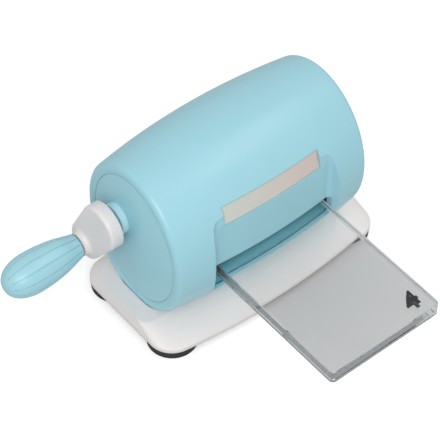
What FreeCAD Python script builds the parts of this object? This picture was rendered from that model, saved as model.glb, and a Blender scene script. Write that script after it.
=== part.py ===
"""Hand cranked die cutting and embossing machine for 3 inch plates.

A light blue barrel housing stands on a white base with four rubber feet.
A short crank on the left drives a pair of steel rollers through a 12 to 29
gear train, and the rollers carry a stack of two clear plates through a slot
from the front to the rear.

Frame: +X to the machine's right (the crank is on the left), -Y to the front,
+Z up. The origin is the centre of the four feet, on the bench. Millimetres.
"""
import FreeCAD, Part
import math
import os

# Plates and feed
PLATE_WIDTH = 76.0
PLATE_LENGTH = 150.0
TOP_PLATE_THICKNESS = 6.0
LOWER_PLATE_THICKNESS = 3.0
PLATE_GAP = 0.15
PLATE_CORNER_RADIUS = 3.0
PLATE_EDGE_CHAMFER = 0.5
FEED_HEIGHT = 42.6
PLATE_OUT_OF_SLOT = 95.0

# Rollers, gears and crank axle
ROLLER_RADIUS = 10.0
NIP_GAP = 0.2
ROLLER_Y = -5.65
JOURNAL_RADIUS = 4.0
RUNNING_CLEARANCE = 0.05
ROLLER_END_PLAY = 0.5
ROLLER_TEETH = 29
PINION_TEETH = 12
GEAR_WIDTH = 6.0
GEAR_ADDENDUM = 0.8
GEAR_DEDENDUM = 1.1
GEAR_BACKLASH = 0.3
GEAR_SIDE_GAP = 1.0
FLANK_STEPS = 4
ROOT_STEP = 0.05
PRESSURE_ANGLE = 20.0
CRANK_AXLE_HEIGHT = 71.5
FLAT_DEPTH = 0.8
RING_THICKNESS = 0.8
RING_RADIUS = 6.2
RING_GROOVE_DEPTH = 0.8
RING_SIDE_GAP = 0.2
RING_MOUTH_INSET = 0.4
JOURNAL_TAIL = 1.2

# Side frames
FRAME_INNER_X = 42.0
FRAME_THICKNESS = 3.0
FRAME_HALF_DEPTH = 23.0
FRAME_TOP = 88.0
FRAME_SHOULDER_HEIGHT = 29.0
FRAME_LEG_HALF_DEPTH = 9.5
FRAME_LEG_TOP = 13.5
FRAME_CORNER = 8.0
FLANGE_LENGTH = 14.0
BUSH_RADIUS = 6.0
BUSH_FLANGE_RADIUS = 7.4
BUSH_FLANGE_THICKNESS = 1.5
TIE_ROD_RADIUS = 4.0
TIE_PIN_RADIUS = 2.5
TIE_PIN_PROUD = 1.0
TIE_ROD_PLACES = {"top_front": (-13.5, 79.0), "top_rear": (21.0, 79.0), "bottom": (18.0, 32.0)}

# Barrel housing
BODY_Y = 3.45
BODY_Z = 60.0
BODY_HALF_LENGTH = 66.4
BODY_END_HALF_DEPTH = 40.6
BODY_END_HALF_HEIGHT = 49.7
BODY_BULGE_DEPTH = 6.0
BODY_BULGE_HEIGHT = 3.8
BODY_WALL = 2.4
BODY_SECTIONS = 9
BODY_RIM_RADIUS = 3.5
RIM_WIDTH = 6.3
RIM_THICKNESS = 4.0
RIM_BEVEL_WIDTH = 2.4
RIM_BEVEL_DEPTH = 0.5
BODY_SEAT_DEPTH = 1.5
BODY_SEAT_CLEARANCE = 0.3
PANEL_FROM_AXIS = 37.7
PANEL_HALF_WIDTH = 41.0
PANEL_EDGE_FLARE = 4.0
PANEL_BOW = 2.3
PANEL_CORNER_RADIUS = 4.5
PANEL_CREASE_RADIUS = 24.0
PANEL_CREASE_ANGLE = 3.0
SLOT_HALF_WIDTH = 42.0
SLOT_ABOVE_PLATES = 0.6
SLOT_BELOW_PLATES = 9.6
SLOT_CLEARANCE = 0.3
COVER_RECESS = 0.5
COVER_DOME = 2.8
COVER_THICKNESS = 2.4
COVER_EDGE_RADIUS = 0.4
COVER_SKIRT_DEPTH = 3.0
COVER_SKIRT_WALL = 1.6
COVER_CLEARANCE = 0.1

# Label strip
LABEL_HALF_LENGTH = 33.3
LABEL_THICKNESS = 0.5
LABEL_RECESS = 0.35
LABEL_CLEARANCE = 0.15
LABEL_WIDTH = 11.4
LABEL_START_ANGLE = 2.9

# Feed guides
GUIDE_DROP = 0.3
GUIDE_THICKNESS = 3.0
GUIDE_LIP_RADIUS = 8.0
GUIDE_ROLLER_GAP = 1.5
GUIDE_CHEEK_HEIGHT = 4.0
GUIDE_CHEEK_SETBACK = 4.0
GUIDE_LIP_STEPS = 10
PLATE_SIDE_PLAY = 0.4

# Crank
COLLAR_RADIUS = 9.2
COLLAR_LENGTH = 6.1
COLLAR_EDGE_RADIUS = 0.8
COLLAR_FLANGE_RADIUS = 11.6
COLLAR_FLANGE_THICKNESS = 2.0
COLLAR_PAD_MARGIN = 1.0
ARM_GAP = 3.2
ARM_THICKNESS = 7.6
ARM_HUB_RADIUS = 13.7
ARM_TIP_RADIUS = 11.5
ARM_EDGE_RADIUS = 1.8
ARM_SKIN = 2.0
ARM_BOSS_RADIUS = 7.0
ARM_BOSS_HEIGHT = 3.4
ARM_BOSS_FILLET = 2.2
CRANK_RADIUS = 27.1
CRANK_REST_ANGLE = -58.1
GRIP_GAP = 1.1
GRIP_PIN_RADIUS = 3.0
GRIP_PIN_SHOULDER_RADIUS = 4.6
GRIP_PIN_HEAD_RADIUS = 4.0
GRIP_PIN_HEAD_LENGTH = 2.0
GRIP_PIN_LENGTH = 38.0
GRIP_PIN_SOCKET = 4.6
GRIP_BORE_CLEARANCE = 0.08
GRIP_HEAD_CLEARANCE = 0.3
GRIP_PROFILE = [(0.0, 7.1), (5.0, 8.4), (10.0, 9.7), (18.0, 11.1), (26.0, 11.8), (33.0, 11.8),
                (39.0, 10.7), (43.5, 8.7), (46.4, 6.2)]
GRIP_LENGTH = 48.4
FLUTE_COUNT = 12
FLUTE_PHASE = 10.4
FLUTE_WIDTH = 0.6
FLUTE_DEPTH = 0.35
FLUTE_END = 45.5

# Base and feet
FOOT_SPACING_X = 126.2
FOOT_SPACING_Y = 51.0
FOOT_RADIUS = 14.6
FOOT_HEIGHT = 5.0
FOOT_RECESS_RADIUS = 4.6
FOOT_RECESS_CLEARANCE = 0.2
FOOT_SCREW_RADIUS = 2.0
FOOT_SCREW_HEAD_RADIUS = 4.0
FOOT_SCREW_HEAD_HEIGHT = 2.0
FOOT_SCREW_REACH = 3.4
BASE_CORNER_RADIUS = 15.0
BASE_BOW = 5.0
BASE_HEIGHT = 9.0
BASE_BAND_HEIGHT = 2.5
PLATFORM_SIDE_INSET = 1.1
PLATFORM_FRONT_Y = -18.45
PLATFORM_REAR_Y = 34.55
PLATFORM_FRONT_CORNER = 7.0
PLATFORM_REAR_CORNER = 20.0
PLATFORM_THICKNESS = 4.0
BASE_WALL = 3.0
BASE_BOSS_RADIUS = 5.0
CHASSIS_THICKNESS = 2.0
CHASSIS_CLEARANCE = 0.3
TRAY_OPENING_CLEARANCE = 1.5
FLANGE_SCREW_RADIUS = 2.0
FLANGE_SCREW_HEAD_RADIUS = 3.4
FLANGE_SCREW_HEAD_HEIGHT = 1.6
FLANGE_SCREW_SPACING = 11.0
SCREW_CLEARANCE = 0.1

# A length beyond the whole machine, and the halvings that find where the crease ends
FAR = 200.0
CREASE_HALVINGS = 40

# Heights and places that follow
LOWER_PLATE_TOP = FEED_HEIGHT + LOWER_PLATE_THICKNESS
TOP_PLATE_BOTTOM = LOWER_PLATE_TOP + PLATE_GAP
STACK_TOP = TOP_PLATE_BOTTOM + TOP_PLATE_THICKNESS
UPPER_ROLLER_Z = STACK_TOP + NIP_GAP + ROLLER_RADIUS
LOWER_ROLLER_Z = FEED_HEIGHT - NIP_GAP - ROLLER_RADIUS
GEAR_MODULE = (UPPER_ROLLER_Z - LOWER_ROLLER_Z) / ROLLER_TEETH
DRIVE_DISTANCE = GEAR_MODULE * (ROLLER_TEETH + PINION_TEETH) / 2
CRANK_AXLE_Y = ROLLER_Y + math.sqrt(DRIVE_DISTANCE ** 2 - (CRANK_AXLE_HEIGHT - UPPER_ROLLER_Z) ** 2)
PANEL_FRONT_Y = BODY_Y - PANEL_FROM_AXIS
PANEL_CROWN_Y = PANEL_FRONT_Y - PANEL_BOW
BOW_RADIUS = (PANEL_HALF_WIDTH ** 2 + PANEL_BOW ** 2) / (2 * PANEL_BOW)
PLATE_FRONT_Y = PANEL_FRONT_Y - PLATE_OUT_OF_SLOT
PLATE_REAR_Y = PLATE_FRONT_Y + PLATE_LENGTH
FRAME_OUTER_X = FRAME_INNER_X + FRAME_THICKNESS
GEAR_INNER_X = FRAME_OUTER_X + BUSH_FLANGE_THICKNESS + GEAR_SIDE_GAP
GEAR_OUTER_X = GEAR_INNER_X + GEAR_WIDTH
RIM_INNER_X = BODY_HALF_LENGTH - RIM_THICKNESS
COVER_EDGE_X = BODY_HALF_LENGTH - COVER_RECESS
COVER_BACK_X = COVER_EDGE_X - COVER_THICKNESS
COVER_HALF_DEPTH = BODY_END_HALF_DEPTH - RIM_WIDTH - COVER_CLEARANCE
COVER_HALF_HEIGHT = BODY_END_HALF_HEIGHT - RIM_WIDTH - COVER_CLEARANCE
COLLAR_END_X = COVER_EDGE_X + COLLAR_LENGTH
ARM_BACK_X = COLLAR_END_X + ARM_GAP
ARM_FACE_X = ARM_BACK_X + ARM_THICKNESS
ARM_BOSS_X = ARM_FACE_X + ARM_BOSS_HEIGHT
GRIP_NECK_X = ARM_BOSS_X + GRIP_GAP
PLATFORM_TOP = FOOT_HEIGHT + BASE_HEIGHT
BODY_BOTTOM = PLATFORM_TOP - BODY_SEAT_DEPTH
CHASSIS_TOP = FOOT_HEIGHT + CHASSIS_THICKNESS
GUIDE_TOP = FEED_HEIGHT - GUIDE_DROP
GUIDE_FRONT_Y = PANEL_CROWN_Y + BODY_WALL + SLOT_CLEARANCE
GUIDE_ROLLER_Y = ROLLER_Y - ROLLER_RADIUS - GUIDE_ROLLER_GAP
SLOT_TOP = STACK_TOP + SLOT_ABOVE_PLATES
SLOT_BOTTOM = FEED_HEIGHT - SLOT_BELOW_PLATES
CRANK_AXLE = (CRANK_AXLE_Y, CRANK_AXLE_HEIGHT)
GRIP_AXLE = (CRANK_AXLE_Y + CRANK_RADIUS * math.cos(math.radians(CRANK_REST_ANGLE)),
             CRANK_AXLE_HEIGHT + CRANK_RADIUS * math.sin(math.radians(CRANK_REST_ANGLE)))
UPPER_AXLE = (ROLLER_Y, UPPER_ROLLER_Z)
LOWER_AXLE = (ROLLER_Y, LOWER_ROLLER_Z)


def vec(x, y, z):
    return FreeCAD.Vector(x, y, z)


def block(x_range, y_range, z_range):
    size = [high - low for low, high in (x_range, y_range, z_range)]
    return Part.makeBox(*size, vec(x_range[0], y_range[0], z_range[0]))


def disc_x(radius, x_range, axle):
    """A cylinder along X between two stations, on an axle given as (y, z)."""
    low, high = min(x_range), max(x_range)
    return Part.makeCylinder(radius, high - low, vec(low, *axle), vec(1, 0, 0))


def disc_z(radius, z_range, place):
    """An upright cylinder at a place given as (x, y)."""
    return Part.makeCylinder(radius, z_range[1] - z_range[0], vec(*place, z_range[0]))


def face_yz(points, x=0.0):
    corners = [vec(x, y, z) for y, z in points]
    return Part.Face(Part.makePolygon(corners + corners[:1]))


def prism_x(points, x_range):
    """A polygon of (y, z) points, extruded along X."""
    return face_yz(points, x_range[0]).extrude(vec(x_range[1] - x_range[0], 0, 0))


def bowed(profile):
    """A face in the plane x = 0, swept round the bow of the housing's front and rear panels."""
    centre = vec(0, PANEL_CROWN_Y + BOW_RADIUS, 0)
    sweep = 2 * math.degrees(math.asin(BODY_HALF_LENGTH / BOW_RADIUS))
    profile.rotate(centre, vec(0, 0, 1), -sweep / 2)
    return profile.revolve(centre, vec(0, 0, 1), sweep)


def joined(first, *others):
    return first.fuse(list(others)).removeSplitter()


def mirrored_x(shape):
    return shape.mirror(vec(0, 0, 0), vec(1, 0, 0))


def mirrored_about_body(shape):
    return shape.mirror(vec(0, BODY_Y, 0), vec(0, 1, 0))


def save(name, shape):
    solid = shape.Solids[0] if len(shape.Solids) == 1 else shape
    solid.exportStep("parts/%s.step" % name)
    print("%-22s %d solid, %.0f mm3" % (name, len(shape.Solids), shape.Volume))


# Plates

def plate(z_low, z_high):
    half = PLATE_WIDTH / 2
    slab = block((-half, half), (PLATE_FRONT_Y, PLATE_REAR_Y), (z_low, z_high))
    upright = [e for e in slab.Edges if abs(e.Vertexes[0].Z - e.Vertexes[1].Z) > 1]
    slab = slab.makeFillet(PLATE_CORNER_RADIUS, upright)
    rims = [e for e in slab.Edges if e.BoundBox.ZLength < 0.01]
    return slab.makeChamfer(PLATE_EDGE_CHAMFER, rims)


# Gears

def involute_angle(radius, base_radius):
    if radius <= base_radius:
        return 0.0
    pressure = math.acos(base_radius / radius)
    return math.tan(pressure) - pressure


def gear_outline(teeth, axle, phase):
    """Tooth outline as (y, z) points, with the centre of one tooth at the phase angle."""
    pitch_radius = GEAR_MODULE * teeth / 2
    base_radius = pitch_radius * math.cos(math.radians(PRESSURE_ANGLE))
    tip_radius = pitch_radius + GEAR_ADDENDUM * GEAR_MODULE
    root_radius = pitch_radius - GEAR_DEDENDUM * GEAR_MODULE
    half_tooth = math.pi / (2 * teeth) - GEAR_BACKLASH / (4 * pitch_radius)
    at_pitch = involute_angle(pitch_radius, base_radius)
    flank_start = max(base_radius, root_radius + ROOT_STEP)
    flank = []
    for step in range(FLANK_STEPS + 1):
        radius = flank_start + (tip_radius - flank_start) * step / FLANK_STEPS
        flank.append((radius, half_tooth + at_pitch - involute_angle(radius, base_radius)))
    points = []
    for tooth in range(teeth):
        centre = phase + 2 * math.pi * tooth / teeth
        points.append((root_radius, centre - flank[0][1]))
        points += [(radius, centre - angle) for radius, angle in flank]
        points += [(radius, centre + angle) for radius, angle in reversed(flank)]
        points.append((root_radius, centre + flank[0][1]))
    return [(axle[0] + radius * math.cos(angle), axle[1] + radius * math.sin(angle))
            for radius, angle in points]


def direction(start, end):
    return math.atan2(end[1] - start[1], end[0] - start[0])


def meshed_phase(teeth, phase, axle, other_teeth, other_axle):
    """Phase that puts the other gear's spaces on this gear's teeth."""
    towards = direction(axle, other_axle)
    offset = (towards - phase) * teeth / (2 * math.pi)
    return towards + math.pi - (0.5 - offset) * 2 * math.pi / other_teeth


PINION_PHASE = direction(CRANK_AXLE, UPPER_AXLE)
UPPER_PHASE = meshed_phase(PINION_TEETH, PINION_PHASE, CRANK_AXLE, ROLLER_TEETH, UPPER_AXLE)
LOWER_PHASE = meshed_phase(ROLLER_TEETH, UPPER_PHASE, UPPER_AXLE, ROLLER_TEETH, LOWER_AXLE)


def flatted(axle, x_range, radius):
    """A shaft length with one flat on top, as the bore and the shaft of a driven piece."""
    flat_z = axle[1] + JOURNAL_RADIUS - FLAT_DEPTH
    reach = 2 * JOURNAL_RADIUS
    shaft = disc_x(radius, x_range, axle)
    above = block((min(x_range) - 1, max(x_range) + 1), (axle[0] - reach, axle[0] + reach),
                  (flat_z, flat_z + reach))
    return shaft.cut(above)


def gear(teeth, axle, phase):
    span = (-GEAR_OUTER_X, -GEAR_INNER_X)
    wheel = prism_x(gear_outline(teeth, axle, phase), span)
    return wheel.cut(flatted(axle, (span[0] - 1, span[1] + 1), JOURNAL_RADIUS))


# Rollers

def ring_stations(side):
    """Where a retaining ring sits on a roller shaft: past the gear on the left, the bush on the right."""
    start = GEAR_OUTER_X if side < 0 else FRAME_OUTER_X + BUSH_FLANGE_THICKNESS
    inner = start + RING_SIDE_GAP
    return inner, inner + RING_THICKNESS


def ring_groove(axle, side):
    inner, outer = ring_stations(side)
    blank = disc_x(JOURNAL_RADIUS + 1, (side * inner, side * outer), axle)
    return blank.cut(disc_x(JOURNAL_RADIUS - RING_GROOVE_DEPTH, (side * inner, side * outer), axle))


def retaining_ring(axle, side):
    inner, outer = ring_stations(side)
    ring = disc_x(RING_RADIUS, (side * inner, side * outer), axle)
    bore = disc_x(JOURNAL_RADIUS - RING_GROOVE_DEPTH, (side * inner, side * outer), axle)
    mouth_half = JOURNAL_RADIUS - RING_GROOVE_DEPTH - RING_MOUTH_INSET
    mouth = block(sorted((side * inner, side * outer)), (axle[0] - RING_RADIUS - 1, axle[0]),
                  (axle[1] - mouth_half, axle[1] + mouth_half))
    return ring.cut(bore).cut(mouth)


def roller(axle):
    barrel_end = FRAME_INNER_X - ROLLER_END_PLAY
    left_end = ring_stations(-1)[1] + JOURNAL_TAIL
    right_end = ring_stations(1)[1] + JOURNAL_TAIL
    body = disc_x(ROLLER_RADIUS, (-barrel_end, barrel_end), axle)
    journal = disc_x(JOURNAL_RADIUS, (-left_end, right_end), axle)
    flat = disc_x(JOURNAL_RADIUS + 1, (-left_end, -GEAR_INNER_X), axle)
    flat = flat.cut(flatted(axle, (-left_end, -GEAR_INNER_X), JOURNAL_RADIUS + 1))
    return joined(body, journal).cut([flat, ring_groove(axle, -1), ring_groove(axle, 1)])


def bush(axle, side):
    span = (side * FRAME_INNER_X, side * FRAME_OUTER_X)
    flange = (side * FRAME_OUTER_X, side * (FRAME_OUTER_X + BUSH_FLANGE_THICKNESS))
    body = joined(disc_x(BUSH_RADIUS, span, axle), disc_x(BUSH_FLANGE_RADIUS, flange, axle))
    return body.cut(disc_x(JOURNAL_RADIUS + RUNNING_CLEARANCE, (span[0], flange[1]), axle))


# Side frames, tie rods and their screws

def frame_outline():
    leg, half = FRAME_LEG_HALF_DEPTH, FRAME_HALF_DEPTH
    right = [(leg, CHASSIS_TOP), (leg, FRAME_LEG_TOP), (half, FRAME_SHOULDER_HEIGHT),
             (half, FRAME_TOP - FRAME_CORNER), (half - FRAME_CORNER, FRAME_TOP)]
    left = [(-y, z) for y, z in reversed(right)]
    return [(BODY_Y + y, z) for y, z in right + left]


def flange_screw_places(side):
    x = side * (FRAME_OUTER_X + FLANGE_LENGTH / 2)
    return [(x, BODY_Y - FLANGE_SCREW_SPACING / 2), (x, BODY_Y + FLANGE_SCREW_SPACING / 2)]


def side_frame(side):
    web = prism_x(frame_outline(), (side * FRAME_INNER_X, side * FRAME_OUTER_X))
    leg = FRAME_LEG_HALF_DEPTH
    foot = block(sorted((side * FRAME_INNER_X, side * (FRAME_OUTER_X + FLANGE_LENGTH))),
                 (BODY_Y - leg, BODY_Y + leg), (CHASSIS_TOP, CHASSIS_TOP + FRAME_THICKNESS))
    frame = joined(web, foot)
    span = (side * FRAME_INNER_X, side * FRAME_OUTER_X)
    holes = [disc_x(BUSH_RADIUS, span, axle) for axle in (UPPER_AXLE, LOWER_AXLE)]
    if side < 0:
        holes.append(disc_x(BUSH_RADIUS, span, CRANK_AXLE))
    holes += [disc_x(TIE_PIN_RADIUS, span, place) for place in TIE_ROD_PLACES.values()]
    hole_radius = FLANGE_SCREW_RADIUS + SCREW_CLEARANCE
    holes += [disc_z(hole_radius, (CHASSIS_TOP, CHASSIS_TOP + FRAME_THICKNESS), place)
              for place in flange_screw_places(side)]
    return frame.cut(holes)


def tie_rod(place):
    pin_end = FRAME_OUTER_X + TIE_PIN_PROUD
    return joined(disc_x(TIE_ROD_RADIUS, (-FRAME_INNER_X, FRAME_INNER_X), place),
                  disc_x(TIE_PIN_RADIUS, (-pin_end, pin_end), place))


def flange_screw(place):
    """Screw from above: head on the frame's flange, shank into the chassis plate."""
    head_low = CHASSIS_TOP + FRAME_THICKNESS
    head = disc_z(FLANGE_SCREW_HEAD_RADIUS, (head_low, head_low + FLANGE_SCREW_HEAD_HEIGHT), place)
    return joined(head, disc_z(FLANGE_SCREW_RADIUS, (FOOT_HEIGHT, head_low), place))


# Barrel housing

def ellipse_section(x, half_depth, half_height):
    centre = vec(x, BODY_Y, BODY_Z)
    curve = Part.Ellipse(centre + vec(0, 0, half_height), centre + vec(0, -half_depth, 0), centre)
    return Part.Wire([curve.toShape()])


def barrel_solid(inset, overrun=0.0):
    """The barrel form, inset by a wall, or grown where the inset is negative."""
    reach = BODY_HALF_LENGTH + overrun
    sections = []
    for index in range(BODY_SECTIONS):
        x = -reach + 2 * reach * index / (BODY_SECTIONS - 1)
        share = 1 - (x / BODY_HALF_LENGTH) ** 2
        sections.append(ellipse_section(x, BODY_END_HALF_DEPTH + BODY_BULGE_DEPTH * share - inset,
                                        BODY_END_HALF_HEIGHT + BODY_BULGE_HEIGHT * share - inset))
    return Part.makeLoft(sections, True, False)


def above_seat(shape):
    return shape.cut(block((-FAR, FAR), (-FAR, FAR), (BODY_BOTTOM - FAR, BODY_BOTTOM)))


def crease_end(depth):
    """Where the rounding over a panel meets the barrel: its rise over the body's centre, and its slope."""
    half_depth = BODY_END_HALF_DEPTH + BODY_BULGE_DEPTH - depth
    half_height = BODY_END_HALF_HEIGHT + BODY_BULGE_HEIGHT - depth
    panel = PANEL_FROM_AXIS + PANEL_BOW - depth
    low, high = 0.0, half_height
    for _ in range(CREASE_HALVINGS):
        rise = (low + high) / 2
        reach = half_depth * math.sqrt(1 - (rise / half_height) ** 2)
        barrel_slope = math.atan2(half_depth ** 2 * rise, half_height ** 2 * reach)
        slope = barrel_slope - math.radians(PANEL_CREASE_ANGLE)
        if reach > panel - PANEL_CREASE_RADIUS * (1 - math.cos(slope)):
            low = rise
        else:
            high = rise
    return rise, slope


def crease(depth):
    """The rounding over a panel in the plane x = 0: its points by angle, and the angle of its end."""
    rise, slope = crease_end(depth)
    start = vec(0, PANEL_CROWN_Y + depth, BODY_Z + rise - PANEL_CREASE_RADIUS * math.sin(slope))

    def point(angle):
        return start + vec(0, 1 - math.cos(angle), math.sin(angle)) * PANEL_CREASE_RADIUS

    return point, slope


def panel_front(depth):
    """The space in front of the panel's face, which is bowed like the barrel and rounded at its top."""
    face_y = PANEL_CROWN_Y + depth
    on_crease, slope = crease(depth)
    run_out = on_crease(slope) + vec(0, math.sin(slope), math.cos(slope)) * BODY_END_HALF_HEIGHT
    front = face_y - BODY_END_HALF_DEPTH
    foot = vec(0, face_y, 0)
    edges = [Part.LineSegment(foot, on_crease(0)).toShape(),
             Part.Arc(on_crease(0), on_crease(slope / 2), on_crease(slope)).toShape()]
    corners = [on_crease(slope), run_out, vec(0, front, run_out.z), vec(0, front, 0), foot]
    edges += [Part.LineSegment(start, end).toShape() for start, end in zip(corners, corners[1:])]
    return bowed(Part.Face(Part.Wire(edges)))


def panel_cutter(depth):
    """The recess in front of the panel, with side walls that flare outwards."""
    half = PANEL_HALF_WIDTH + depth
    back = PANEL_FRONT_Y + depth
    front = BODY_Y - BODY_END_HALF_DEPTH - BODY_BULGE_DEPTH
    outer_half = half + PANEL_EDGE_FLARE
    points = [(-half, back), (half, back), (outer_half, front), (-outer_half, front)]
    corners = [vec(x, y, 0) for x, y in points]
    walls = Part.Face(Part.makePolygon(corners + corners[:1])).extrude(vec(0, 0, 2 * BODY_Z))
    inner_corners = [e for e in walls.Edges if e.BoundBox.ZLength > 1 and abs(e.BoundBox.YMax - back) < 0.01]
    return walls.makeFillet(PANEL_CORNER_RADIUS, inner_corners).common(panel_front(depth))


def rounded_barrel(growth):
    """The barrel form with rounded ends, grown all round by a clearance."""
    form = barrel_solid(-growth, growth)
    rims = [e for e in form.Edges
            if abs(abs(e.BoundBox.XMin) - BODY_HALF_LENGTH - growth) < 0.01 and e.BoundBox.XLength < 0.01]
    return form.makeFillet(BODY_RIM_RADIUS + growth, rims)


def recessed_form():
    """The outer form of the housing, with both panels cut in."""
    cutter = panel_cutter(0)
    return rounded_barrel(0.0).cut([cutter, mirrored_about_body(cutter)])


def end_opening():
    """The oval opening in the right end's rim, with a bevelled mouth."""
    def outline(x, growth):
        return ellipse_section(x, BODY_END_HALF_DEPTH - RIM_WIDTH + growth,
                               BODY_END_HALF_HEIGHT - RIM_WIDTH + growth)

    start = BODY_HALF_LENGTH - RIM_BEVEL_DEPTH
    hole = Part.Face(outline(start, 0)).extrude(vec(-2 * RIM_THICKNESS, 0, 0))
    mouth_end = outline(start + 2 * RIM_BEVEL_DEPTH, 2 * RIM_BEVEL_WIDTH)
    return joined(hole, Part.makeLoft([outline(start, 0), mouth_end], True, True))


def slot_cutter():
    through_wall = (PANEL_FRONT_Y - 4 * BODY_WALL, PANEL_FRONT_Y + 2 * BODY_WALL)
    return block((-SLOT_HALF_WIDTH, SLOT_HALF_WIDTH), through_wall, (SLOT_BOTTOM, SLOT_TOP))


def label_bar(near, far, gap):
    """A bar bowed like the panel, behind a chord of the crease, between two depths under the label."""
    on_crease, _ = crease(0)
    start = math.radians(LABEL_START_ANGLE)
    bottom = on_crease(start)
    top = on_crease(start + 2 * math.asin(LABEL_WIDTH / (2 * PANEL_CREASE_RADIUS)))
    along = (top - bottom).normalize()
    into = vec(0, along.z, -along.y)
    low = bottom + into * LABEL_RECESS - along * gap
    high = top + into * LABEL_RECESS + along * gap
    corners = [low + into * near, high + into * near, high + into * far, low + into * far]
    half = LABEL_HALF_LENGTH + gap
    bar = bowed(face_yz([(corner.y, corner.z) for corner in corners]))
    return bar.common(block((-half, half), (-FAR, FAR), (0, FAR)))


def barrel_shell(form):
    """The housing's tube, open at both ends."""
    inner_front = panel_cutter(BODY_WALL)
    inner = barrel_solid(BODY_WALL).cut([inner_front, mirrored_about_body(inner_front)])
    tube = form.common(block((-RIM_INNER_X, RIM_INNER_X), (-FAR, FAR), (0, FAR)))
    slots = [slot_cutter(), mirrored_about_body(slot_cutter())]
    pocket = label_bar(-4 * BODY_WALL, LABEL_THICKNESS, LABEL_CLEARANCE)
    return above_seat(tube.cut(inner).cut(slots + [pocket]))


def end_rim(form):
    """The ring that ends the housing on the right: its rounded edge, and a lip round the cover."""
    end = form.common(block((RIM_INNER_X, FAR), (-FAR, FAR), (0, FAR)))
    return above_seat(end.cut(end_opening()))


def label_strip():
    """The strip lies on its pocket's floor, a little below the housing's face."""
    return label_bar(0, LABEL_THICKNESS, 0)


def cover_plug(inner_x, edge_x, inset):
    """A domed plug with a rounded edge, made round and then stretched upwards to an oval."""
    dome_radius = (COVER_HALF_DEPTH ** 2 + COVER_DOME ** 2) / (2 * COVER_DOME)
    centre = vec(0, BODY_Y, BODY_Z)
    dome = Part.makeSphere(dome_radius, centre + vec(edge_x + COVER_DOME - dome_radius, 0, 0))
    radius = COVER_HALF_DEPTH - inset
    plug = disc_x(radius, (inner_x, edge_x + COVER_DOME), (BODY_Y, BODY_Z)).common(dome)
    edge = [e for e in plug.Edges if e.BoundBox.ZLength > radius and e.BoundBox.XMin > inner_x + 1]
    plug = plug.makeFillet(COVER_EDGE_RADIUS, edge[:1])
    stretch = FreeCAD.Matrix()
    stretch.move(centre * -1)
    stretch.scale(1, 1, (COVER_HALF_HEIGHT - inset) / radius)
    stretch.move(centre)
    return plug.transformGeometry(stretch)


def end_cover(side):
    """Inset cover: a domed oval with a skirt, and a pad behind the crank's collar on the left one."""
    skirt_x = COVER_BACK_X - COVER_SKIRT_DEPTH
    outside = cover_plug(skirt_x, COVER_EDGE_X, 0)
    cover = above_seat(outside.cut(cover_plug(skirt_x - 1, COVER_BACK_X, COVER_SKIRT_WALL)))
    if side > 0:
        return cover
    pad = disc_x(COLLAR_FLANGE_RADIUS + COLLAR_PAD_MARGIN, (COVER_BACK_X, FAR), CRANK_AXLE)
    hole = disc_x(COLLAR_RADIUS, (skirt_x, FAR), CRANK_AXLE)
    return mirrored_x(cover.fuse(pad.common(outside)).cut(hole))


# Feed guides

def guide_profile():
    """Section of the front guide at its middle: table, rounded lip and an apron behind the wall."""
    lip, wall = GUIDE_LIP_RADIUS, GUIDE_THICKNESS
    front, rear = GUIDE_FRONT_Y, GUIDE_ROLLER_Y
    centre = (front + lip, GUIDE_TOP - lip)

    def bend(radius):
        angles = [math.pi / 2 * (1 + step / GUIDE_LIP_STEPS) for step in range(GUIDE_LIP_STEPS + 1)]
        return [(centre[0] + radius * math.cos(a), centre[1] + radius * math.sin(a)) for a in angles]

    low = SLOT_BOTTOM + SLOT_CLEARANCE
    outer = [(rear, GUIDE_TOP)] + bend(lip) + [(front, low)]
    inner = [(front + wall, low)] + list(reversed(bend(lip - wall))) + [(rear, GUIDE_TOP - wall)]
    return outer + inner


def feed_guide(table_end):
    """Front guide, bowed like the wall, or the rear one where the table runs on to another end."""
    half = SLOT_HALF_WIDTH - SLOT_CLEARANCE
    low = GUIDE_TOP - GUIDE_THICKNESS
    front_part = bowed(face_yz(guide_profile()))
    front_part = front_part.common(block((-half, half), (-FAR, GUIDE_ROLLER_Y), (0, FAR)))
    table = block((-half, half), (GUIDE_ROLLER_Y - 1, table_end), (low, GUIDE_TOP))
    cheeks = []
    for side in (-1, 1):
        width = sorted((side * (PLATE_WIDTH / 2 + PLATE_SIDE_PLAY), side * FRAME_INNER_X))
        length = (GUIDE_FRONT_Y + PANEL_BOW + GUIDE_CHEEK_SETBACK, table_end)
        cheeks.append(block(width, length, (low, GUIDE_TOP + GUIDE_CHEEK_HEIGHT)))
    return joined(front_part, table, *cheeks)


# Crank

def crank_collar():
    inner_end = -COVER_BACK_X + COLLAR_FLANGE_THICKNESS
    tube = disc_x(COLLAR_RADIUS, (-COLLAR_END_X, -COVER_BACK_X), CRANK_AXLE)
    outer_edge = [e for e in tube.Edges if e.BoundBox.XMax < -COLLAR_END_X + 0.01]
    tube = tube.makeFillet(COLLAR_EDGE_RADIUS, outer_edge)
    flange = disc_x(COLLAR_FLANGE_RADIUS, (-COVER_BACK_X, inner_end), CRANK_AXLE)
    bore = disc_x(JOURNAL_RADIUS + RUNNING_CLEARANCE, (-COLLAR_END_X, inner_end), CRANK_AXLE)
    return joined(tube, flange).cut(bore)


def crank_shaft():
    outer_end = ARM_FACE_X - ARM_SKIN
    shaft = disc_x(JOURNAL_RADIUS, (-outer_end, -FRAME_INNER_X), CRANK_AXLE)
    cuts = []
    for span in ((-outer_end, -ARM_BACK_X), (-GEAR_OUTER_X, -GEAR_INNER_X)):
        full = disc_x(JOURNAL_RADIUS + 1, span, CRANK_AXLE)
        cuts.append(full.cut(flatted(CRANK_AXLE, span, JOURNAL_RADIUS + 1)))
    return shaft.cut(cuts)


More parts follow.
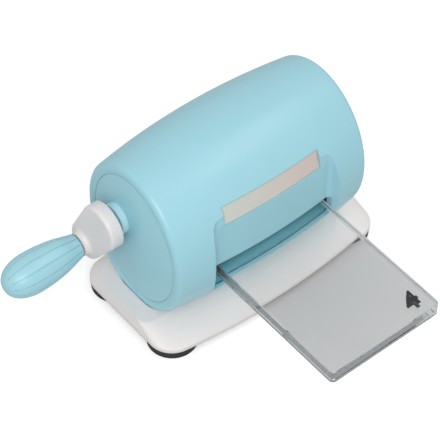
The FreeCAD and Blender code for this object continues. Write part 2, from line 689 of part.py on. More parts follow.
def crank_arm():
    """Flat arm round two hubs of different size, with rounded edges and a low boss under the grip."""
    tilt = direction(CRANK_AXLE, GRIP_AXLE)
    spread = math.acos((ARM_HUB_RADIUS - ARM_TIP_RADIUS) / CRANK_RADIUS)

    def arc_points(centre, radius, start, end):
        """The start, the middle and the end of an arc on the arm's face."""
        return [vec(-ARM_FACE_X, centre[0] + radius * math.cos(angle), centre[1] + radius * math.sin(angle))
                for angle in (start, (start + end) / 2, end)]

    tip = arc_points(GRIP_AXLE, ARM_TIP_RADIUS, tilt - spread, tilt + spread)
    hub = arc_points(CRANK_AXLE, ARM_HUB_RADIUS, tilt + spread, tilt - spread + 2 * math.pi)
    edges = [Part.Arc(*tip).toShape(), Part.LineSegment(tip[-1], hub[0]).toShape(),
             Part.Arc(*hub).toShape(), Part.LineSegment(hub[-1], tip[0]).toShape()]
    arm = Part.Face(Part.Wire(edges)).extrude(vec(ARM_THICKNESS, 0, 0))
    rims = [e for e in arm.Edges if e.BoundBox.XMax < -ARM_FACE_X + 0.01]
    arm = arm.makeFillet(ARM_EDGE_RADIUS, rims)
    arm = arm.fuse(disc_x(ARM_BOSS_RADIUS, (-ARM_BOSS_X, -ARM_BACK_X), GRIP_AXLE))
    root = [e for e in arm.Edges if abs(e.BoundBox.XMin + ARM_FACE_X) < 0.01 and e.BoundBox.XLength < 0.01
            and abs(e.BoundBox.ZLength - 2 * ARM_BOSS_RADIUS) < 0.01]
    arm = arm.makeFillet(ARM_BOSS_FILLET, root)
    shaft_socket = flatted(CRANK_AXLE, (-ARM_FACE_X + ARM_SKIN, -ARM_BACK_X), JOURNAL_RADIUS)
    pin_socket = disc_x(GRIP_PIN_RADIUS, (-ARM_BOSS_X, -ARM_FACE_X + GRIP_PIN_SOCKET), GRIP_AXLE)
    return arm.cut([shaft_socket, pin_socket])


def grip_pin():
    end = GRIP_NECK_X + GRIP_PIN_LENGTH
    shank = disc_x(GRIP_PIN_RADIUS, (-end, -ARM_FACE_X + GRIP_PIN_SOCKET), GRIP_AXLE)
    shoulder = disc_x(GRIP_PIN_SHOULDER_RADIUS, (-GRIP_NECK_X + GRIP_HEAD_CLEARANCE, -ARM_BOSS_X), GRIP_AXLE)
    head = disc_x(GRIP_PIN_HEAD_RADIUS, (-end, -end + GRIP_PIN_HEAD_LENGTH), GRIP_AXLE)
    return joined(shank, shoulder, head)


def grip_side(shrink):
    """Points along the grip's side, in the plane through its axle."""
    return [vec(-GRIP_NECK_X - along, GRIP_AXLE[0], GRIP_AXLE[1] + radius - shrink)
            for along, radius in GRIP_PROFILE]


def grip():
    start = vec(-GRIP_NECK_X, *GRIP_AXLE)
    end = vec(-GRIP_NECK_X - GRIP_LENGTH, *GRIP_AXLE)
    side = grip_side(0) + [end]
    curve = Part.BSplineCurve()
    curve.interpolate(Points=side, InitialTangent=side[1] - side[0], FinalTangent=vec(0, 0, -1))
    neck = Part.LineSegment(start, side[0]).toShape()
    axle = Part.LineSegment(end, start).toShape()
    body = Part.Face(Part.Wire([neck, curve.toShape(), axle])).revolve(start, vec(1, 0, 0), 360)
    pin_end = GRIP_NECK_X + GRIP_PIN_LENGTH
    bore = disc_x(GRIP_PIN_RADIUS + GRIP_BORE_CLEARANCE, (-pin_end, -GRIP_NECK_X), GRIP_AXLE)
    head_span = (-pin_end - GRIP_HEAD_CLEARANCE, -pin_end + GRIP_PIN_HEAD_LENGTH + GRIP_HEAD_CLEARANCE)
    head_room = disc_x(GRIP_PIN_HEAD_RADIUS + GRIP_HEAD_CLEARANCE, head_span, GRIP_AXLE)
    return body.cut([bore, head_room] + flutes())


def flutes():
    """Thin fins that cut the lengthwise grooves from the neck on, each following the grip's side."""
    inner = Part.BSplineCurve()
    inner.interpolate(grip_side(FLUTE_DEPTH))
    bottom = inner.toShape()
    start, end = bottom.Vertexes[0].Point, bottom.Vertexes[-1].Point
    outside = GRIP_AXLE[1] + 2 * max(radius for _, radius in GRIP_PROFILE)
    corners = [end, vec(end.x, end.y, outside), vec(start.x, start.y, outside), start]
    sides = [Part.LineSegment(low, high).toShape() for low, high in zip(corners, corners[1:])]
    fin = Part.Face(Part.Wire([bottom] + sides)).extrude(vec(0, FLUTE_WIDTH, 0))
    fin.translate(vec(0, -FLUTE_WIDTH / 2, 0))
    around = (GRIP_AXLE[0] - FAR, GRIP_AXLE[0] + FAR)
    above = (GRIP_AXLE[1], GRIP_AXLE[1] + FAR)
    fin = fin.common(block((-GRIP_NECK_X - FLUTE_END, -GRIP_NECK_X), around, above))
    fins = []
    for index in range(FLUTE_COUNT):
        turned = fin.copy()
        turned.rotate(vec(0, *GRIP_AXLE), vec(1, 0, 0), FLUTE_PHASE + 360.0 * index / FLUTE_COUNT)
        fins.append(turned)
    return fins


# Base and feet

def base_corner(z, half_width, end_y, corner, sign, bow, inset):
    """The right hand corner arc at one end of the base: its start on the side, its middle and its end."""
    centre_x = half_width - corner
    lean = 0.0
    if bow:
        bow_radius = (centre_x ** 2 + (corner + bow) ** 2 - corner ** 2) / (2 * bow)
        lean = math.asin(centre_x / (bow_radius - corner))
    sweep = math.pi / 2 - lean
    radius = corner - inset
    return [vec(centre_x + radius * math.cos(angle), end_y - sign * (corner - radius * math.sin(angle)), z)
            for angle in (0, sweep / 2, sweep)]


def base_outline(z, half_width, front, rear, bow, inset):
    """Closed outline with rounded corners. Each end is given as (y, corner radius), and may bow out."""
    ends = []
    for (end_y, corner), sign in ((front, -1), (rear, 1)):
        right = base_corner(z, half_width, end_y, corner, sign, bow, inset)
        left = [vec(-point.x, point.y, z) for point in right]
        ends.append((left, right, vec(0, end_y + sign * (bow - inset), z)))
    (front_left, front_right, front_crown), (rear_left, rear_right, rear_crown) = ends

    def end_edge(start, crown, end):
        curve = Part.Arc(start, crown, end) if bow else Part.LineSegment(start, end)
        return curve.toShape()

    return Part.Wire([
        Part.Arc(*front_left).toShape(),
        end_edge(front_left[-1], front_crown, front_right[-1]),
        Part.Arc(*reversed(front_right)).toShape(),
        Part.LineSegment(front_right[0], rear_right[0]).toShape(),
        Part.Arc(*rear_right).toShape(),
        end_edge(rear_right[-1], rear_crown, rear_left[-1]),
        Part.Arc(*reversed(rear_left)).toShape(),
        Part.LineSegment(rear_left[0], front_left[0]).toShape(),
    ])


def foot_outline(z, inset):
    reach_x = FOOT_SPACING_X / 2 + BASE_CORNER_RADIUS
    reach_y = FOOT_SPACING_Y / 2 + BASE_CORNER_RADIUS
    front, rear = [(end_y, BASE_CORNER_RADIUS) for end_y in (-reach_y, reach_y)]
    return base_outline(z, reach_x, front, rear, BASE_BOW, inset)


def platform_outline(z, inset):
    half = FOOT_SPACING_X / 2 + BASE_CORNER_RADIUS - PLATFORM_SIDE_INSET
    front = (PLATFORM_FRONT_Y, PLATFORM_FRONT_CORNER)
    rear = (PLATFORM_REAR_Y, PLATFORM_REAR_CORNER)
    return base_outline(z, half, front, rear, 0, inset)


def foot_places():
    x, y = FOOT_SPACING_X / 2, FOOT_SPACING_Y / 2
    return {"front_left": (-x, -y), "front_right": (x, -y), "rear_left": (-x, y), "rear_right": (x, y)}


def base_tray():
    band_top = FOOT_HEIGHT + BASE_BAND_HEIGHT
    ceiling = PLATFORM_TOP - PLATFORM_THICKNESS
    band = Part.Face(foot_outline(FOOT_HEIGHT, 0)).extrude(vec(0, 0, BASE_BAND_HEIGHT))
    hood = Part.makeLoft([foot_outline(band_top, 0), platform_outline(PLATFORM_TOP, 0)], True, True)
    outer = band.fuse(hood)
    skirt = Part.Face(foot_outline(FOOT_HEIGHT, BASE_WALL)).extrude(vec(0, 0, CHASSIS_THICKNESS))
    roof_outlines = [foot_outline(CHASSIS_TOP, 2 * BASE_WALL), platform_outline(ceiling, BASE_WALL)]
    roof = Part.makeLoft(roof_outlines, True, True)
    bosses = [disc_z(BASE_BOSS_RADIUS, (CHASSIS_TOP, PLATFORM_TOP), place).common(outer)
              for place in foot_places().values()]
    tray = outer.cut([skirt, roof]).fuse(bosses)
    screw_top = CHASSIS_TOP + FOOT_SCREW_REACH
    screws = [disc_z(FOOT_SCREW_RADIUS, (CHASSIS_TOP, screw_top), place) for place in foot_places().values()]
    seat = above_seat(rounded_barrel(BODY_SEAT_CLEARANCE))
    opening = frame_opening()
    return tray.cut(screws + [seat, opening]).removeSplitter()


def frame_opening():
    """The hole in the platform that the side frames, gears and lower roller hang through."""
    half_y = FRAME_LEG_HALF_DEPTH + TRAY_OPENING_CLEARANCE
    reach = FRAME_OUTER_X + FLANGE_LENGTH + TRAY_OPENING_CLEARANCE
    return block((-reach, reach), (BODY_Y - half_y, BODY_Y + half_y), (FOOT_HEIGHT, PLATFORM_TOP + 1))


def chassis_plate():
    outline = foot_outline(FOOT_HEIGHT, BASE_WALL + CHASSIS_CLEARANCE)
    plate_body = Part.Face(outline).extrude(vec(0, 0, CHASSIS_THICKNESS))
    holes = [disc_z(FOOT_SCREW_RADIUS + SCREW_CLEARANCE, (FOOT_HEIGHT, CHASSIS_TOP), place)
             for place in foot_places().values()]
    for side in (-1, 1):
        holes += [disc_z(FLANGE_SCREW_RADIUS, (FOOT_HEIGHT, CHASSIS_TOP), place)
                  for place in flange_screw_places(side)]
    return plate_body.cut(holes)


def foot(place):
    """A rubber pad, with a recess on top for the head of the screw that it covers."""
    recess_low = FOOT_HEIGHT - FOOT_SCREW_HEAD_HEIGHT - FOOT_RECESS_CLEARANCE
    recess = disc_z(FOOT_RECESS_RADIUS, (recess_low, FOOT_HEIGHT), place)
    return disc_z(FOOT_RADIUS, (0, FOOT_HEIGHT), place).cut(recess)


def foot_screw(place):
    """Screw from below, through the chassis plate into the tray's boss."""
    head = disc_z(FOOT_SCREW_HEAD_RADIUS, (FOOT_HEIGHT - FOOT_SCREW_HEAD_HEIGHT, FOOT_HEIGHT), place)
    return joined(head, disc_z(FOOT_SCREW_RADIUS, (FOOT_HEIGHT, CHASSIS_TOP + FOOT_SCREW_REACH), place))


def build_nodes():
    form = recessed_form()
    right_rim = end_rim(form)
    nodes = {
        "barrel_shell": barrel_shell(form),
        "left_end_rim": mirrored_x(right_rim),
        "right_end_rim": right_rim,
        "left_end_cover": end_cover(-1),
        "right_end_cover": end_cover(1),
        "label_strip": label_strip(),
        "front_feed_guide": feed_guide(GUIDE_ROLLER_Y),
        "base_tray": base_tray(),
        "chassis_plate": chassis_plate(),
        "crank_collar": crank_collar(),
        "crank_bush": bush(CRANK_AXLE, -1),
        "crank_shaft": crank_shaft(),
        "crank_pinion": gear(PINION_TEETH, CRANK_AXLE, PINION_PHASE),
        "crank_arm": crank_arm(),
        "grip_pin": grip_pin(),
        "grip": grip(),
        "top_plate": plate(TOP_PLATE_BOTTOM, STACK_TOP),
        "lower_plate": plate(FEED_HEIGHT, LOWER_PLATE_TOP),
    }
    rear_table_end = 2 * BODY_Y - (ROLLER_Y + ROLLER_RADIUS + GUIDE_ROLLER_GAP)
    nodes["rear_feed_guide"] = mirrored_about_body(feed_guide(rear_table_end))
    for name, axle, phase in (("upper", UPPER_AXLE, UPPER_PHASE), ("lower", LOWER_AXLE, LOWER_PHASE)):
        nodes[name + "_roller"] = roller(axle)
        nodes[name + "_gear"] = gear(ROLLER_TEETH, axle, phase)
        for side_name, side in (("left", -1), ("right", 1)):
            nodes["%s_bush_%s" % (name, side_name)] = bush(axle, side)
            nodes["%s_ring_%s" % (name, side_name)] = retaining_ring(axle, side)
    for name, place in TIE_ROD_PLACES.items():
        nodes["tie_rod_" + name] = tie_rod(place)
    for name, place in foot_places().items():
        nodes["foot_" + name] = foot(place)
        nodes["foot_screw_" + name] = foot_screw(place)
    for side_name, side in (("left", -1), ("right", 1)):
        nodes["side_frame_" + side_name] = side_frame(side)
        for end_name, place in zip(("front", "rear"), flange_screw_places(side)):
            nodes["frame_screw_%s_%s" % (side_name, end_name)] = flange_screw(place)
    return nodes


os.makedirs("parts", exist_ok=True)
for node_name, node_shape in build_nodes().items():
    save(node_name, node_shape)
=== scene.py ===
"""Studio picture of a hand cranked die cutting and embossing machine.

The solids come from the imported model. This script gives them their materials,
adds the printed numerals on the two plates, and sets up floor, lights and camera.
"""

import bmesh
import bpy
from mathutils import Matrix, Vector


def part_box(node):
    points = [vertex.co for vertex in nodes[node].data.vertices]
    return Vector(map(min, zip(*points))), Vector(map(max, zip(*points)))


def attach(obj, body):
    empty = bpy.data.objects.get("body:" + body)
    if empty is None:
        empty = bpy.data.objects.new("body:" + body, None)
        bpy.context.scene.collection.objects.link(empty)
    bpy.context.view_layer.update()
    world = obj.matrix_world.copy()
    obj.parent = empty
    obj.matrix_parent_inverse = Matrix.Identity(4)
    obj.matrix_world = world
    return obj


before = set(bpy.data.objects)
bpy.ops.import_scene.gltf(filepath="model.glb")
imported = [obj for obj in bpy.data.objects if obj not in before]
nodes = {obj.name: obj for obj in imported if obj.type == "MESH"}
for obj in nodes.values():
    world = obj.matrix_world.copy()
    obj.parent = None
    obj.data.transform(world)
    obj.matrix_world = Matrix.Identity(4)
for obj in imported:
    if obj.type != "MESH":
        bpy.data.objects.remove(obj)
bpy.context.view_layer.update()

# Camera, fitted to the photograph: metres, with the lens and sensor in millimetres
CAMERA_PLACE = (-0.51216, -0.62062, 0.94871)
CAMERA_BACK = (-0.41556, -0.51192, 0.75183)
CAMERA_LENS = 177.33
CAMERA_SENSOR = 36.0
CAMERA_NEAR = 0.05
CAMERA_FAR = 20.0

# Colours, linear
BLUE = (0.330, 0.640, 0.730)
# The collar's blue is the housing's blue lightened: painted light, where the collar catches more light
COLLAR_BLUE_PAINTED_LIGHT = (0.505, 0.785, 0.856)
GRIP_BLUE = (0.350, 0.655, 0.740)
WHITE = (0.835, 0.788, 0.774)
ARM_WHITE = (0.785, 0.755, 0.750)
RUBBER = (0.018, 0.018, 0.020)
STEEL = (0.560, 0.565, 0.575)
SHEET_STEEL = (0.620, 0.630, 0.640)
GEAR_STEEL = (0.430, 0.430, 0.440)
BRONZE = (0.480, 0.310, 0.140)
INK = (0.012, 0.012, 0.014)

# Label foil: the tints of its two ends, and how far a noise moves the change between them
LABEL_LEFT = (0.600, 0.640, 0.580)
LABEL_RIGHT = (0.630, 0.530, 0.490)
LABEL_DRIFT = 0.25

# Feed guides: a painted shade for inside the slot, their colour at the lip, and how deep the change
# between the two goes
GUIDE_PAINTED_SHADE = (0.018, 0.190, 0.250)
GUIDE_LIP = (0.070, 0.340, 0.420)
GUIDE_PAINTED_SHADE_DEPTH = 0.0045

# Clear plates. Past PLATE_CLEAR_BOUNCES bounces, a ray meets the plain PLATE_DEPTHS grey
PLATE_TINT = (0.992, 0.991, 0.991)
PLATE_SHADOW_TINT = (0.970, 0.970, 0.970)
PLATE_DEPTHS = (0.560, 0.585, 0.600)
PLATE_CLEAR_BOUNCES = 3.5
PLATE_IOR = 1.49
PLATE_RUBBED_ROUGHNESS = 0.02

# Gloss: how far the roughness goes below and above its own value over the surface
PLASTIC_IOR = 1.48
PLASTIC_SPECULAR = 0.8
PLASTIC_UNEVENNESS = (-0.05, 0.05)
METAL_UNEVENNESS = (-0.06, 0.08)

# Rounded edges: samples, and how many radii away from a flush joint the rounding stops
EDGE_SAMPLES = 6
JOINT_MARGIN = 1.5

# Ways of a grain: a small number draws it out along that axis
ALONG_X = (0.1, 1.0, 1.0)
ALONG_Y = (1.0, 0.06, 1.0)
ALONG_Z = (1.0, 1.0, 0.1)
AROUND_X = (1.0, 0.05, 0.05)

# Floor: its shade to the camera, through the plates and in the light it throws back
FLOOR_SIZE = 6.0
FLOOR_WHITE = 0.95
FLOOR_GREY = 0.62
FLOOR_BOUNCE = 0.55
FLOOR_GLOW = 0.30

# Lamps: place, target, way of the long side, size and power. The strip makes the barrel's long highlight
WORLD_WHITE = (1.0, 1.0, 1.0)
WORLD_LEVEL = 0.68
LAMPS = {
    "key": ((-0.75, -0.82, 1.05), (0.0, 0.0, 0.05), (0.74, -0.67, 0.0), (0.90, 0.90), 8.8),
    "strip": ((0.52, -0.33, 1.14), (-0.01, -0.01, 0.11), (0.17, 0.45, 0.11), (0.80, 0.16), 1.4),
}

# Printed numerals, in metres: their height, and their place from the plate's front right corner
NUMERAL = "4"
NUMERAL_HEIGHT = 0.0105
NUMERAL_SIDE_INSET = 0.0104
NUMERAL_FRONT_INSET = 0.0067
NUMERAL_WEIGHT = 0.035
INK_THICKNESS = 0.00003


# Helpers

def scaled(colour, factor):
    return tuple(min(1.0, channel * factor) for channel in colour)


def rgba(colour):
    return (*colour, 1.0)


def fill(node, **values):
    """Sets a node's inputs. An underscore stands for a space in an input's name."""
    for name, value in values.items():
        node.inputs[name.replace("_", " ")].default_value = value


def add_object(name, data):
    made = bpy.data.objects.new(name, data)
    bpy.context.scene.collection.objects.link(made)
    return made


class Shader:
    """A material's node tree with short calls to add and join nodes."""

    def __init__(self, name):
        self.material = bpy.data.materials.new(name)
        self.material.use_nodes = True
        self.tree = self.material.node_tree
        self.surface = self.tree.nodes["Principled BSDF"]

    def node(self, kind, **values):
        made = self.tree.nodes.new(kind)
        fill(made, **values)
        return made

    def link(self, source, target):
        self.tree.links.new(source, target)

    def set(self, **values):
        fill(self.surface, **values)

    def feed(self, socket, value):
        self.link(value, self.surface.inputs[socket])

    def position(self):
        return self.node("ShaderNodeTexCoord").outputs["Object"]

    def along(self, axis):
        axes = self.node("ShaderNodeSeparateXYZ")
        self.link(self.position(), axes.inputs["Vector"])
        return axes.outputs[axis]

    def stretched(self, way):
        mapping = self.node("ShaderNodeMapping", Scale=way)
        self.link(self.position(), mapping.inputs["Vector"])
        return mapping.outputs["Vector"]

    def noise(self, scale, detail, roughness=0.5, vector=None):
        made = self.node("ShaderNodeTexNoise", Scale=scale, Detail=detail, Roughness=roughness)
        self.link(vector or self.position(), made.inputs["Vector"])
        return made.outputs["Fac"]

    def ramp(self, value, low, high, interpolation="LINEAR"):
        """A colour ramp between two (place, colour) ends."""
        made = self.node("ShaderNodeValToRGB")
        made.color_ramp.interpolation = interpolation
        for element, (place, colour) in zip(made.color_ramp.elements, (low, high)):
            element.position = place
            element.color = rgba(colour)
        self.link(value, made.inputs["Fac"])
        return made.outputs["Color"]

    def shades(self, value, colour, low, high):
        """A colour ramp between two (place, factor) shades of one colour."""
        ends = [(place, scaled(colour, factor)) for place, factor in (low, high)]
        return self.ramp(value, *ends)

    def math(self, operation, first, second=0.0):
        """A math node on two values, each a number or another node's output."""
        made = self.node("ShaderNodeMath")
        made.operation = operation
        for socket, value in zip(made.inputs, (first, second)):
            if isinstance(value, float):
                socket.default_value = value
            else:
                self.link(value, socket)
        return made.outputs[0]

    def mapped(self, value, **ends):
        made = self.node("ShaderNodeMapRange", **ends)
        self.link(value, made.inputs["Value"])
        return made.outputs["Result"]

    def share(self, value, low, high):
        """How far a value has gone from one number to another, from 0 to 1."""
        return self.mapped(value, From_Min=low, From_Max=high)

    def spread(self, value, low, high):
        """Maps a 0 to 1 value to a range of numbers."""
        return self.mapped(value, To_Min=low, To_Max=high)

    def uneven_gloss(self, grain, roughness, unevenness):
        """Gives the surface a roughness that wanders with a grain."""
        less, more = unevenness
        self.feed("Roughness", self.spread(grain, roughness + less, roughness + more))

    def rounded_edges(self, radius, joint_x=None):
        """Rounds the edges, but not where two pieces meet flush at plus or minus a given x."""
        made = self.node("ShaderNodeBevel", Radius=radius)
        made.samples = EDGE_SAMPLES
        if joint_x is not None:
            side = self.math("ABSOLUTE", self.along("X"))
            from_joint = self.math("ABSOLUTE", self.math("SUBTRACT", side, joint_x))
            apart = self.math("GREATER_THAN", from_joint, JOINT_MARGIN * radius)
            self.link(self.math("MULTIPLY", apart, radius), made.inputs["Radius"])
        return made.outputs["Normal"]

    def relief(self, grain, distance, strength, edges):
        """Gives the surface a fine relief over its rounded edges."""
        bump = self.node("ShaderNodeBump", Distance=distance, Strength=strength)
        self.link(grain, bump.inputs["Height"])
        self.link(edges, bump.inputs["Normal"])
        self.feed("Normal", bump.outputs["Normal"])

    def output(self):
        """The material's surface output, and the shader that reaches it so far."""
        socket = self.tree.nodes["Material Output"].inputs["Surface"]
        return socket, socket.links[0].from_socket

    def mix_surface(self, share, other):
        """Blends another shader over what the surface shows so far, by a share."""
        output, shown = self.output()
        mix = self.node("ShaderNodeMixShader")
        self.link(share, mix.inputs["Fac"])
        self.link(shown, mix.inputs[1])
        self.link(other, mix.inputs[2])
        self.link(mix.outputs["Shader"], output)

    def add_glow(self, strength):
        """Adds a white glow to what the surface shows."""
        output, shown = self.output()
        glow = self.node("ShaderNodeEmission")
        self.link(strength, glow.inputs["Strength"])
        total = self.node("ShaderNodeAddShader")
        self.link(shown, total.inputs[0])
        self.link(glow.outputs["Emission"], total.inputs[1])
        self.link(total.outputs["Shader"], output)


# Materials

def moulding(name, colour_of, roughness, edge_radius, joint_x=None):
    """Satin moulded plastic with a fine grain, uneven gloss and softly rounded edges."""
    shader = Shader(name)
    shader.feed("Base Color", colour_of(shader))
    handling = shader.noise(scale=60.0, detail=4.0, roughness=0.6)
    shader.uneven_gloss(handling, roughness, PLASTIC_UNEVENNESS)
    shader.set(IOR=PLASTIC_IOR, Specular_IOR_Level=PLASTIC_SPECULAR)
    grain = shader.noise(scale=2600.0, detail=2.0)
    edges = shader.rounded_edges(edge_radius, joint_x)
    shader.relief(grain, distance=0.00002, strength=0.35, edges=edges)
    return shader.material


def mottled(colour):
    """A colour with a faint mottle, for a moulding."""
    def paint(shader):
        return shader.shades(shader.noise(scale=28.0, detail=3.0), colour, (0.3, 0.985), (0.7, 1.015))
    return paint


def guide_colour_with_painted_shade(shader):
    """Painted shade: deeper towards the rollers and lighter at the lip, to match how dark the slot lies
    in its shade.
    """
    (_, low_y, _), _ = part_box("front_feed_guide")
    (_, middle_low, _), (_, middle_high, _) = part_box("barrel_shell")
    middle = (middle_low + middle_high) / 2
    lip = middle - low_y
    # Painted shade: the colour darkens from the lip inwards, where the slot lies in shade
    outward = shader.math("ABSOLUTE", shader.math("SUBTRACT", shader.along("Y"), middle))
    near_lip = shader.share(outward, lip - GUIDE_PAINTED_SHADE_DEPTH, lip)
    return shader.ramp(near_lip, (0.0, GUIDE_PAINTED_SHADE), (1.0, GUIDE_LIP), "EASE")


def clear_acrylic():
    """Polished clear sheet with a slight tint and rubbing marks, which lets light through its shadow."""
    shader = Shader("clear_acrylic")
    shader.set(Base_Color=rgba(PLATE_TINT), IOR=PLATE_IOR, Transmission_Weight=1.0)
    rubbing = shader.noise(scale=420.0, detail=3.0, roughness=0.6, vector=shader.stretched(ALONG_Y))
    shader.feed("Roughness", shader.spread(rubbing, 0.0, PLATE_RUBBED_ROUGHNESS))
    rays = shader.node("ShaderNodeLightPath").outputs
    haze = shader.node("ShaderNodeBsdfDiffuse", Color=rgba(PLATE_DEPTHS))
    deep = shader.math("GREATER_THAN", rays["Ray Depth"], PLATE_CLEAR_BOUNCES)
    shader.mix_surface(deep, haze.outputs["BSDF"])
    clear = shader.node("ShaderNodeBsdfTransparent", Color=rgba(PLATE_SHADOW_TINT))
    indirect = shader.math("MAXIMUM", rays["Is Shadow Ray"], rays["Is Diffuse Ray"])
    shader.mix_surface(indirect, clear.outputs["BSDF"])
    return shader.material


def pearl_foil():
    """Pearly label foil: its tint drifts from green grey to pink along its length."""
    shader = Shader("pearl_foil")
    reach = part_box("label_strip")[1][0]
    drift = shader.spread(shader.noise(scale=60.0, detail=2.0), -LABEL_DRIFT, LABEL_DRIFT)
    tint = shader.math("ADD", shader.share(shader.along("X"), -reach, reach), drift)
    shader.feed("Base Color", shader.ramp(tint, (0.1, LABEL_LEFT), (0.9, LABEL_RIGHT)))
    shader.set(Roughness=0.38)
    flakes = shader.noise(scale=5200.0, detail=1.0)
    shader.relief(flakes, distance=0.00001, strength=0.3, edges=shader.rounded_edges(0.0003))
    return shader.material


def rubber():
    """Matt black rubber with a fine dusty grain."""
    shader = Shader("foot_rubber")
    dust = shader.noise(scale=180.0, detail=5.0, roughness=0.65)
    shader.feed("Base Color", shader.shades(dust, RUBBER, (0.35, 1.0), (0.8, 2.2)))
    shader.set(Roughness=0.72)
    grain = shader.noise(scale=1500.0, detail=3.0)
    shader.relief(grain, distance=0.00004, strength=0.5, edges=shader.rounded_edges(0.0006))
    return shader.material


def metal(name, colour, roughness, grain_scale, way):
    """Bare metal with a drawn or turned grain."""
    shader = Shader(name)
    grain = shader.noise(grain_scale, detail=3.0, roughness=0.6, vector=shader.stretched(way))
    shader.feed("Base Color", shader.shades(grain, colour, (0.3, 0.85), (0.7, 1.1)))
    shader.uneven_gloss(grain, roughness, METAL_UNEVENNESS)
    shader.set(Metallic=1.0)
    shader.relief(grain, distance=0.00001, strength=0.4, edges=shader.rounded_edges(0.0002))
    return shader.material


def ink():
    """Screen printed ink with thin spots."""
    shader = Shader("printed_ink")
    thin = shader.noise(scale=900.0, detail=3.0)
    shader.feed("Base Color", shader.shades(thin, INK, (0.3, 1.0), (0.8, 2.5)))
    shader.set(Roughness=0.5)
    return shader.material


def floor_white():
    """White to the camera, grey through the plates, and dimmer in the light it throws back."""
    shader = Shader("floor")
    rays = shader.node("ShaderNodeLightPath").outputs
    seen = rays["Is Camera Ray"]
    unseen = shader.spread(rays["Is Diffuse Ray"], FLOOR_GREY, FLOOR_BOUNCE)
    shader.feed("Base Color", shader.math("MAXIMUM", shader.spread(seen, 0.0, FLOOR_WHITE), unseen))
    shader.set(Roughness=0.9)
    shader.add_glow(shader.spread(seen, 0.0, FLOOR_GLOW))
    return shader.material


# Materials onto the CAD nodes

def dress(material, *names):
    for name in names:
        mesh = nodes[name].data
        mesh.materials.clear()
        mesh.materials.append(material)


def sides(*stems):
    return [stem + end for stem in stems for end in ("_left", "_right")]


def corners(stem):
    return [stem + end for end in ("_front_left", "_front_right", "_rear_left", "_rear_right")]


def dress_plastics():
    rim_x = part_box("right_end_rim")[0][0]
    housing = moulding("blue_plastic", mottled(BLUE), roughness=0.35, edge_radius=0.0008, joint_x=rim_x)
    dress(housing, "barrel_shell", "left_end_rim", "right_end_rim")
    cover = moulding("blue_cover", mottled(BLUE), roughness=0.38, edge_radius=0.0006)
    dress(cover, "left_end_cover", "right_end_cover")
    # Painted light: the collar gets a lighter copy of the housing's blue
    collar = moulding("blue_collar_painted_light", mottled(COLLAR_BLUE_PAINTED_LIGHT), roughness=0.38, edge_radius=0.0006)
    dress(collar, "crank_collar")
    # The guides' colour holds painted shade, darker inside the slot
    guide = moulding("blue_guide_painted_shade", guide_colour_with_painted_shade, roughness=0.45, edge_radius=0.0004)
    dress(guide, "front_feed_guide", "rear_feed_guide")
    grip = moulding("blue_grip", mottled(GRIP_BLUE), roughness=0.36, edge_radius=0.0003)
    dress(grip, "grip")
    tray = moulding("white_plastic", mottled(WHITE), roughness=0.42, edge_radius=0.0012)
    dress(tray, "base_tray")
    arm = moulding("white_arm", mottled(ARM_WHITE), roughness=0.40, edge_radius=0.0005)
    dress(arm, "crank_arm")


def dress_metals():
    turned = metal("turned_steel", STEEL, roughness=0.28, grain_scale=900.0, way=AROUND_X)
    dress(turned, "upper_roller", "lower_roller", "crank_shaft", "grip_pin", "tie_rod_top_front",
          "tie_rod_top_rear", "tie_rod_bottom", *sides("upper_ring", "lower_ring"))
    gear = metal("gear_steel", GEAR_STEEL, roughness=0.36, grain_scale=500.0, way=ALONG_X)
    dress(gear, "crank_pinion", "upper_gear", "lower_gear")
    sheet = metal("sheet_steel", SHEET_STEEL, roughness=0.42, grain_scale=300.0, way=ALONG_Z)
    dress(sheet, "chassis_plate", *sides("side_frame"))
    screw = metal("screw_steel", STEEL, roughness=0.35, grain_scale=800.0, way=ALONG_Z)
    dress(screw, *corners("foot_screw"), "frame_screw_left_front", "frame_screw_left_rear",
          "frame_screw_right_front", "frame_screw_right_rear")
    bush = metal("bush_bronze", BRONZE, roughness=0.45, grain_scale=700.0, way=ALONG_X)
    dress(bush, "crank_bush", *sides("upper_bush", "lower_bush"))


# Printed numerals

def numeral_mesh(name):
    """The numeral as a thin bold shape: width centred on 0, foot at 0, lying face up."""
    text = bpy.data.curves.new(name, "FONT")
    text.body = NUMERAL
    text.offset = NUMERAL_WEIGHT
    holder = bpy.data.objects.new(name + "_outline", text)
    mesh = bpy.data.meshes.new_from_object(holder)
    bpy.data.objects.remove(holder)
    across = [vertex.co.x for vertex in mesh.vertices]
    up = [vertex.co.y for vertex in mesh.vertices]
    middle = (min(across) + max(across)) / 2
    factor = NUMERAL_HEIGHT / (max(up) - min(up))
    mesh.transform(Matrix.Scale(factor, 4) @ Matrix.Translation((-middle, -min(up), 0)))
    return mesh


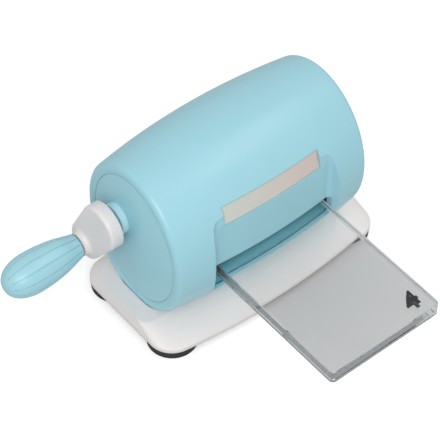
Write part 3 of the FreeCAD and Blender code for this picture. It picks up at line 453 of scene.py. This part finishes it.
def printed_numeral(plate, material):
    (_, low_y, _), (high_x, _, high_z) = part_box(plate)
    mesh = numeral_mesh(plate + "_numeral")
    mesh.materials.append(material)
    mark = add_object(plate + "_numeral", mesh)
    mark.location = (high_x - NUMERAL_SIDE_INSET, low_y + NUMERAL_FRONT_INSET, high_z + INK_THICKNESS)
    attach(mark, "plates")


# Stage, lights and camera

def studio_floor():
    mesh = bpy.data.meshes.new("floor")
    shape = bmesh.new()
    bmesh.ops.create_grid(shape, x_segments=1, y_segments=1, size=FLOOR_SIZE)
    shape.to_mesh(mesh)
    shape.free()
    mesh.materials.append(floor_white())
    floor = add_object("floor", mesh)


def softbox(name, place, target, along, size, power):
    """A rectangular lamp aimed at a target, with its long side turned to a given way."""
    light = bpy.data.lights.new(name, "AREA")
    light.shape = "RECTANGLE"
    light.size, light.size_y = size
    light.energy = power
    back = (Vector(place) - Vector(target)).normalized()
    across = Vector(along).cross(back).normalized()
    turned = Matrix((back.cross(across), across, back)).transposed().to_4x4()
    lamp = add_object(name, light)
    lamp.matrix_world = Matrix.Translation(place) @ turned


def studio_lights():
    world = bpy.data.worlds.new("studio")
    world.use_nodes = True
    fill(world.node_tree.nodes["Background"], Color=rgba(WORLD_WHITE), Strength=WORLD_LEVEL)
    bpy.context.scene.world = world
    for name, lamp in LAMPS.items():
        softbox(name, *lamp)


def camera():
    data = bpy.data.cameras.new("camera")
    data.sensor_width = CAMERA_SENSOR
    data.sensor_fit = "HORIZONTAL"
    data.lens = CAMERA_LENS
    data.clip_start = CAMERA_NEAR
    data.clip_end = CAMERA_FAR
    view = add_object("camera", data)
    view.location = CAMERA_PLACE
    view.rotation_euler = (-Vector(CAMERA_BACK)).to_track_quat("-Z", "Y").to_euler()
    bpy.context.scene.camera = view


dress_plastics()
dress_metals()
dress(clear_acrylic(), "top_plate", "lower_plate")
dress(pearl_foil(), "label_strip")
dress(rubber(), *corners("foot"))
numeral_ink = ink()
printed_numeral("top_plate", numeral_ink)
printed_numeral("lower_plate", numeral_ink)
studio_floor()
studio_lights()
camera()
bpy.context.scene.view_settings.view_transform = "Standard"
